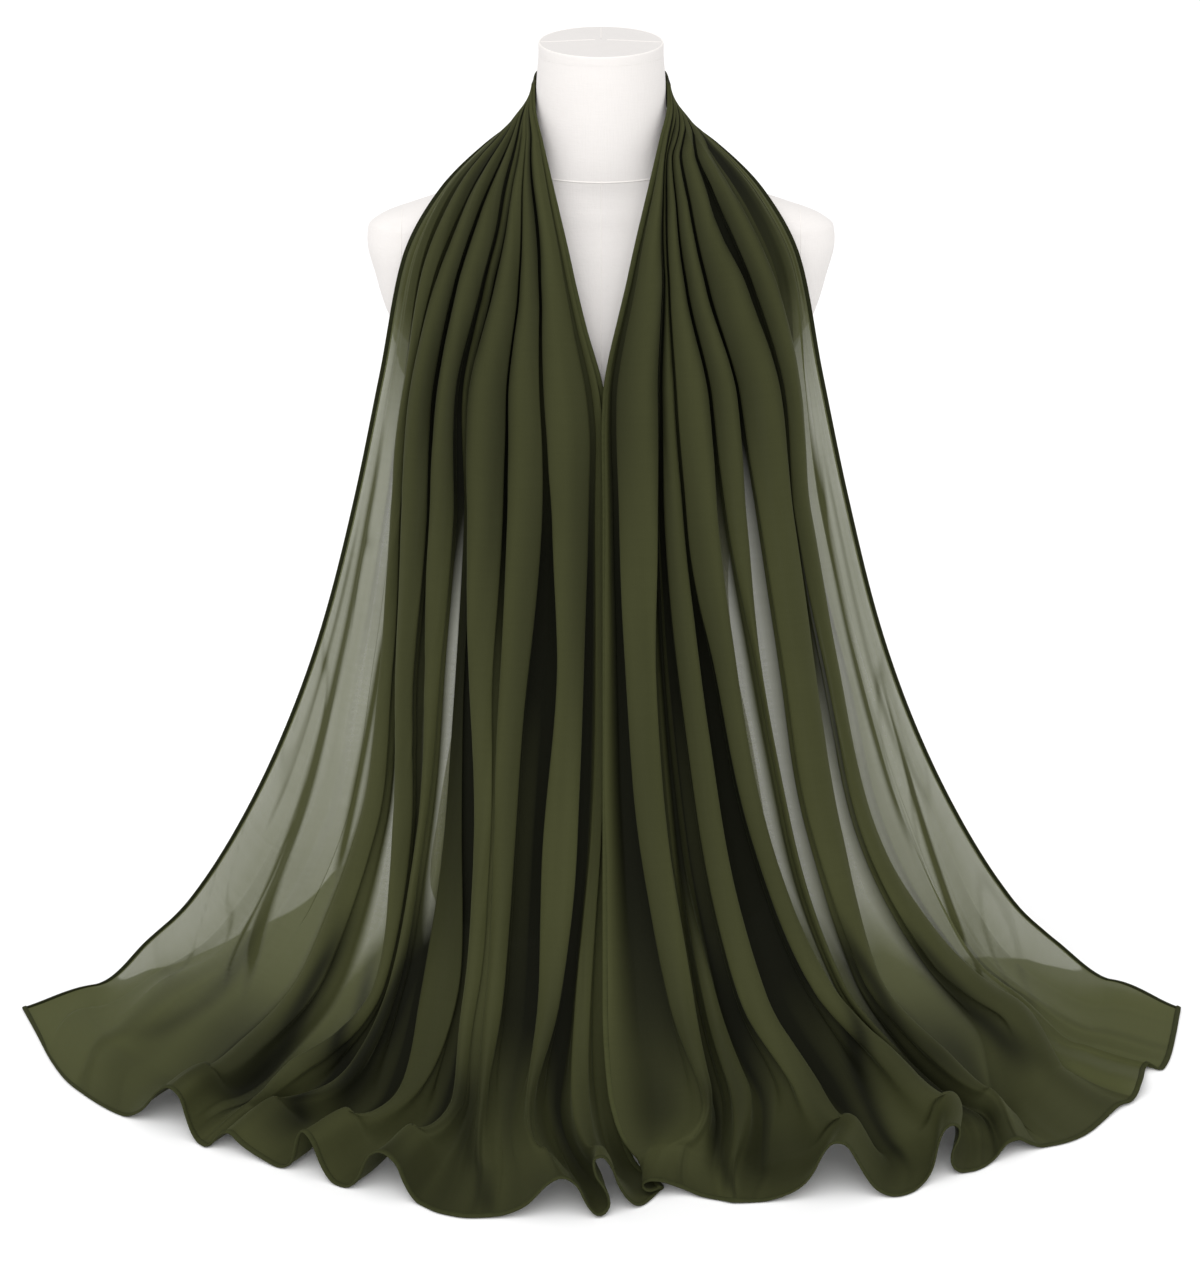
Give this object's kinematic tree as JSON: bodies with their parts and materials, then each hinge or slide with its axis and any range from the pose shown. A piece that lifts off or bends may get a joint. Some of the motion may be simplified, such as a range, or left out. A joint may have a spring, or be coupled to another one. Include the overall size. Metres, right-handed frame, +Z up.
{
  "type": "chiffon scarf on dress form",
  "caption": "Long sheer chiffon scarf gathered behind the neck of a small limbless dress form, its two halves falling in fanned folds to the floor.",
  "frame": {"origin": "on the floor under the axis of the form, at the middle of the base plate's underside", "axes": "+Z up, -Y to the front of the form, +X to the right as seen from the front"},
  "size_m": [0.92, 0.4521, 0.7773],
  "materials": {
    "chiffon": "sheer olive green chiffon, matt with a soft sheen",
    "hem": "rolled and stitched edge of the same chiffon, darker because it is several layers",
    "linen": "off-white fine linen cover",
    "stand": "satin off-white paint"
  },
  "bodies": {
    "root": {"nape_stretch": "chiffon", "left_yoke": "chiffon", "left_skirt": "chiffon", "left_train": "chiffon", "right_yoke": "chiffon", "right_skirt": "chiffon", "right_train": "chiffon", "nape_upper_hem": "hem", "nape_lower_hem": "hem", "left_yoke_inner_hem": "hem", "left_yoke_outer_hem": "hem", "left_skirt_inner_hem": "hem", "left_skirt_outer_hem": "hem", "left_train_inner_hem": "hem", "left_train_outer_hem": "hem", "left_end_hem": "hem", "right_yoke_inner_hem": "hem", "right_yoke_outer_hem": "hem", "right_skirt_inner_hem": "hem", "right_skirt_outer_hem": "hem", "right_train_inner_hem": "hem", "right_train_outer_hem": "hem", "right_end_hem": "hem", "form_torso": "linen", "left_arm_cap": "linen", "right_arm_cap": "linen", "neck_cap": "linen", "stand_pole": "stand", "stand_collar": "stand", "base_plate": "stand"}
  },
  "joints": []
}
